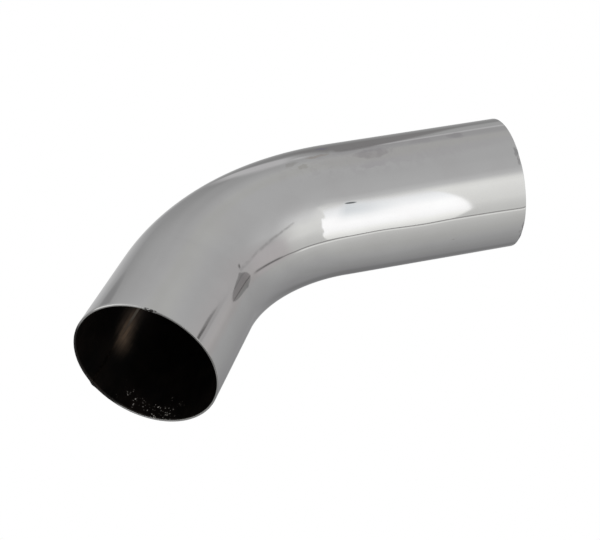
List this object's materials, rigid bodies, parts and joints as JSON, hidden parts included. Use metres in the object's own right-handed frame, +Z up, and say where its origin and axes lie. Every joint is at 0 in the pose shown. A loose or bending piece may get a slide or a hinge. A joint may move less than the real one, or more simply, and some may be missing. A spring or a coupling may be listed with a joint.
{
  "type": "flue elbow",
  "caption": "Chrome-plated bent tube elbow with a long and a short straight leg and plain square-cut ends, for joining two runs of round flue or exhaust pipe.",
  "frame": {"origin": "centre of the long leg's open end, on the tube's centreline", "axes": "the elbow lies on its side; +X points out of the long leg's open end along its axis, the bend lies in the XY plane and turns towards -Y, +Z is up"},
  "size_m": [0.4275, 0.2647, 0.1268],
  "materials": {
    "bare_steel": "bare mill steel, dark and scaled in the bore",
    "weld_metal": "as-welded bead, heat tinted",
    "bright_chrome": "bright decorative chrome over polished steel"
  },
  "bodies": {
    "root": {"steel_tube": "bare_steel", "seam_weld": "weld_metal", "chrome_plating": "bright_chrome"}
  },
  "joints": []
}
